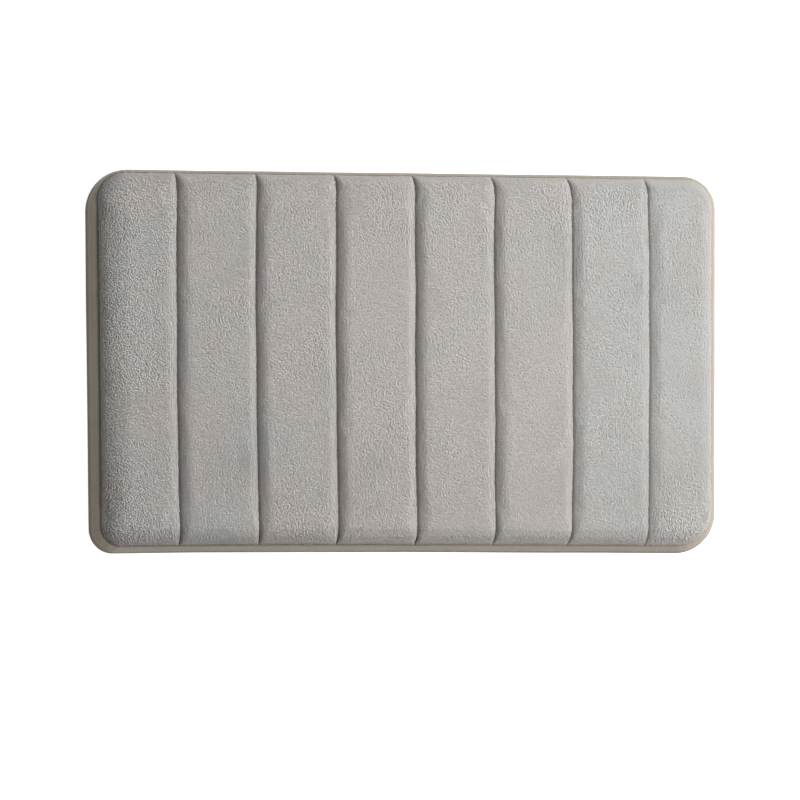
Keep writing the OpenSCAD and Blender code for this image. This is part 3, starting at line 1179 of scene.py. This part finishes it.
top_line, _ = outline(face_half_l + 0.2 * MM, face_half_w + 0.2 * MM, FACE_CORNERS + 0.2 * MM)
top_line = np.column_stack([top_line + FACE_SHIFT[:2], np.full(len(top_line), join_z + 0.1 * MM)])
sew(stitches, "top_edge_stitches", top_line, True, "top_seam_thread")
bottom_line, _ = outline(mat_half_l - 2.2 * MM, mat_half_w - 2.2 * MM, SEWN_CORNERS - 2.2 * MM)
bottom_line = np.column_stack([bottom_line, np.full(len(bottom_line), base_low.z)])
bottom = sew(stitches, "bottom_edge_stitches", bottom_line, True, "bottom_seam_thread")
print("bottom edge:", len(bottom.data.polygons), "faces")

# %% [markdown]
# ## Grip dots and the care label
#
# The dots are printed on the backing in a staggered pattern and dry as low domes.  The printing
# stops short of the edge and leaves a window for the label, which is a blank strip of satin that
# is sewn down along one side and curls a little at the other.

# %% Grip dots
DOT_D = 3.2 * MM
DOT_PITCH = 10 * MM


def dot_tree():
    """A low dome at every point."""
    tree, given = new_tree("printed_dots", [
        ("Dot Width", "NodeSocketFloat", DOT_D),
        ("Dot Height", "NodeSocketFloat", 1 * MM),
    ])
    dome = add_node(tree, "GeometryNodeMeshUVSphere", {"Segments": 8, "Rings": 4, "Radius": 1.0})
    half = add_node(tree, "ShaderNodeMath", {0: given.outputs["Dot Width"], 1: 0.5}, operation="MULTIPLY")
    size = add_node(tree, "ShaderNodeCombineXYZ", {
        0: half.outputs[0], 1: half.outputs[0], 2: given.outputs["Dot Height"]})
    dots = add_node(tree, "GeometryNodeInstanceOnPoints", {
        "Points": given.outputs["Geometry"],
        "Instance": dome.outputs["Mesh"],
        "Scale": size.outputs[0],
    })
    end_tree(tree, dots.outputs["Instances"], [RUBBER])
    return tree


def dot_places():
    """Staggered rows inside the mat's outline, but not under the label."""
    margin = 5 * MM
    row_pitch = DOT_PITCH * math.sqrt(3) / 2
    places = []
    for row in range(-round(dots_high.y / row_pitch), round(dots_high.y / row_pitch) + 1):
        shift = DOT_PITCH / 2 * (row % 2)
        for column in range(-round(dots_high.x / DOT_PITCH), round(dots_high.x / DOT_PITCH) + 1):
            x, y = column * DOT_PITCH + shift, row * row_pitch
            inside = inside_distance(x, y, mat_half_l, mat_half_w, SEWN_CORNERS)
            by_label = (label_low.x - margin < x < label_high.x + margin
                        and label_low.y - margin < y < label_high.y + margin)
            if inside > 8 * MM and not by_label:
                places.append((x, y, dots_high.z))
    return places


places = dot_places()
dots = grow(new_piece("dots", places, []), dot_tree(), "rubber_dots",
            **{"Dot Width": DOT_D, "Dot Height": dots_high.z - dots_low.z})
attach(dots, "root")
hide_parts("grip_dots")
print(len(places), "dots,", len(dots.data.polygons), "faces")

# %% Care label
LABEL_T = 0.2 * MM
label_x = np.linspace(label_low.x, label_high.x, 27)
label_y = np.linspace(label_low.y, label_high.y, 14)
label_points = []
for y in label_y:
    free = (label_high.y - y) / (label_high.y - label_low.y)
    for x in label_x:
        curl = 0.35 * MM * free ** 2 * (0.6 + 0.4 * math.sin((x - label_low.x) * 190))
        label_points.append((x, y, label_high.z - 0.05 * MM - curl))
label = new_piece("satin_label", label_points, grid_faces(len(label_y), len(label_x)), SATIN)
solidify = label.modifiers.new("thickness", "SOLIDIFY")
solidify.thickness = LABEL_T
solidify.offset = -1
apply_modifiers(label)
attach(label, "root")
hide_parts("care_label")
thread_low, thread_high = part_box("label_thread")
row_y = (thread_low.y + thread_high.y) / 2
label_line = [(x, row_y, label_high.z - LABEL_T - 0.15 * MM) for x in (thread_low.x, thread_high.x)]
sew(stitches, "label_stitches", label_line, False, "label_thread")

# %% [markdown]
# ## Floor and light
#
# The mat lies on a plain white floor, which is lit strongly enough to read as white all round.
# One large soft light stands to the right and behind, as a window would, so the right ends of the
# channels are brighter and each seam's left shoulder is in shade.

# %% Floor, lights and world
bpy.ops.mesh.primitive_plane_add(size=60, location=(0, 0, 0))
floor = bpy.context.object
floor.name = "floor"
material, tree, output = new_material("white_floor")
finish_material(tree, output, add_node(tree, "ShaderNodeBsdfPrincipled", {
    "Base Color": linear("#F4F4F4"),
    "Roughness": 1.0,
    "Specular IOR Level": 0.0,
    "Emission Color": (1, 1, 1, 1),
    "Emission Strength": 0.7,
}))
floor.data.materials.append(material)


def soft_light(name, place, target, size, watts):
    """A square area light that faces a target."""
    data = bpy.data.lights.new(name, "AREA")
    data.size = size
    data.energy = watts
    light = bpy.data.objects.new(name, data)
    bpy.context.scene.collection.objects.link(light)
    light.location = place
    light.rotation_mode = "QUATERNION"
    light.rotation_quaternion = (Vector(target) - Vector(place)).to_track_quat("-Z", "Y")
    return light


soft_light("window", (2.05, 0.28, 1.75), (0, 0, 0), 1.5, 146)
world = bpy.data.worlds.new("studio")
world.use_nodes = True
world.node_tree.nodes["Background"].inputs["Color"].default_value = (1, 1, 1, 1)
world.node_tree.nodes["Background"].inputs["Strength"].default_value = 0.53
bpy.context.scene.world = world
bpy.context.scene.view_settings.view_transform = "Standard"
